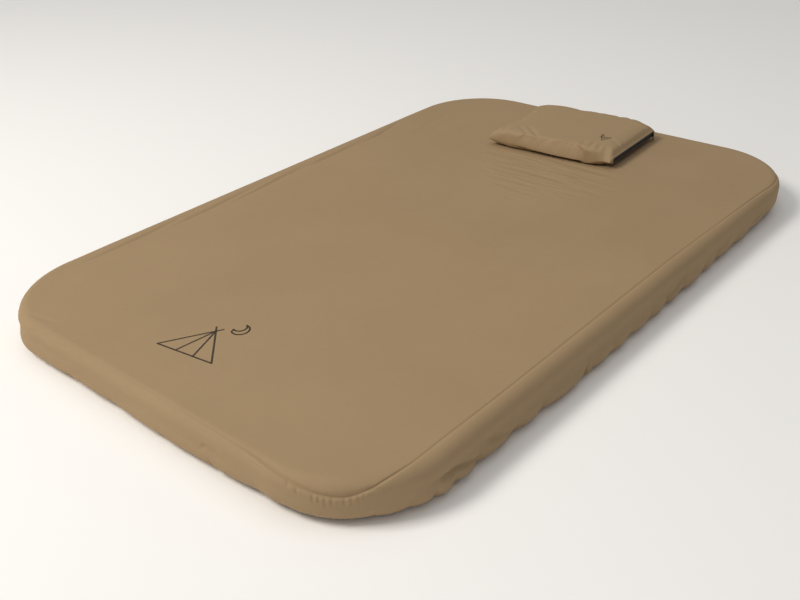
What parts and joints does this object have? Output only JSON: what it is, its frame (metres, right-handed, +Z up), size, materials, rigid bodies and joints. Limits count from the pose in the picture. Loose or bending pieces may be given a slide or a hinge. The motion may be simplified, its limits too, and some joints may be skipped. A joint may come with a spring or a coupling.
{
  "type": "inflatable sleeping pad",
  "caption": "Double self-inflating sleeping pad in a fitted sheet with an elastic hem, with a flat zipped pillow pouch lying on its head end; valves in the underside.",
  "frame": {"origin": "middle of the pad's flat underside, on the ground", "axes": "+X across the pad, +Y along the pad towards the head end where the pouch lies, +Z up"},
  "size_m": [1.312, 2.012, 0.1504],
  "materials": {
    "sheet_fabric": "matte",
    "pad_skin": "matte",
    "pad_base_skin": "matte",
    "open_cell_foam": "matte",
    "valve_plastic": "satin",
    "valve_silicone": "satin",
    "elastic": "matte",
    "pouch_fabric": "matte",
    "pouch_wadding": "matte",
    "zip_tape": "matte",
    "zip_coil": "satin",
    "zip_metal": "gloss"
  },
  "bodies": {
    "pad": {"foam_core": "open_cell_foam", "pad_top_skin": "pad_skin", "pad_side_wall": "pad_skin", "pad_bottom_skin": "pad_base_skin", "inflate_valve_base": "valve_plastic", "inflate_flap_guide": "valve_plastic", "deflate_valve_base": "valve_plastic", "deflate_valve_grille": "valve_plastic"},
    "inflate_flap": {"inflate_valve_flap": "valve_silicone"},
    "inflate_cap": {"inflate_valve_cap": "valve_plastic", "inflate_cap_seal": "valve_silicone"},
    "deflate_cap": {"deflate_valve_cap": "valve_plastic", "deflate_cap_seal": "valve_silicone"},
    "sheet": {"sheet_top_panel": "sheet_fabric", "sheet_side_band": "sheet_fabric", "sheet_hem_casing": "sheet_fabric", "hem_elastic": "elastic"},
    "pouch": {"pouch_top_panel": "pouch_fabric", "pouch_bottom_panel": "pouch_fabric", "pouch_fill": "pouch_wadding", "zip_tape_lower": "zip_tape", "zip_tape_upper": "zip_tape", "zip_teeth_lower": "zip_coil", "zip_teeth_upper": "zip_coil", "zip_end_stops": "zip_coil"},
    "slider": {"zip_slider": "zip_metal"},
    "pull": {"zip_pull": "zip_metal"}
  },
  "joints": [
    {"name": "sheet_lift", "type": "slide", "parent": "pad", "child": "sheet", "axis": [0, 0, 1], "range_m": [0, 0.15], "deforming": ["sheet_side_band", "sheet_hem_casing", "hem_elastic"]},
    {"name": "pouch_lift", "type": "slide", "parent": "sheet", "child": "pouch", "axis": [0, 0, 1], "range_m": [0, 0.1]},
    {"name": "zip_slide", "type": "slide", "parent": "pouch", "child": "slider", "axis": [0.0523, -0.9986, 0], "range_m": [0, 0.26]},
    {"name": "pull_swing", "type": "hinge", "parent": "slider", "child": "pull", "pos_m": [0.19219, 0.90025, 0.1274], "axis": [0.0523, -0.9986, 0], "range_deg": [0, 150]},
    {"name": "inflate_cap_hinge", "type": "hinge", "parent": "pad", "child": "inflate_cap", "pos_m": [-0.455, -0.805, 0.0032], "axis": [1, 0, 0], "range_deg": [0, 120]},
    {"name": "deflate_cap_hinge", "type": "hinge", "parent": "pad", "child": "deflate_cap", "pos_m": [0.455, -0.805, 0.0032], "axis": [1, 0, 0], "range_deg": [0, 120]},
    {"name": "inflate_flap_lift", "type": "slide", "parent": "pad", "child": "inflate_flap", "axis": [0, 0, 1], "range_m": [0, 0.002]}
  ]
}
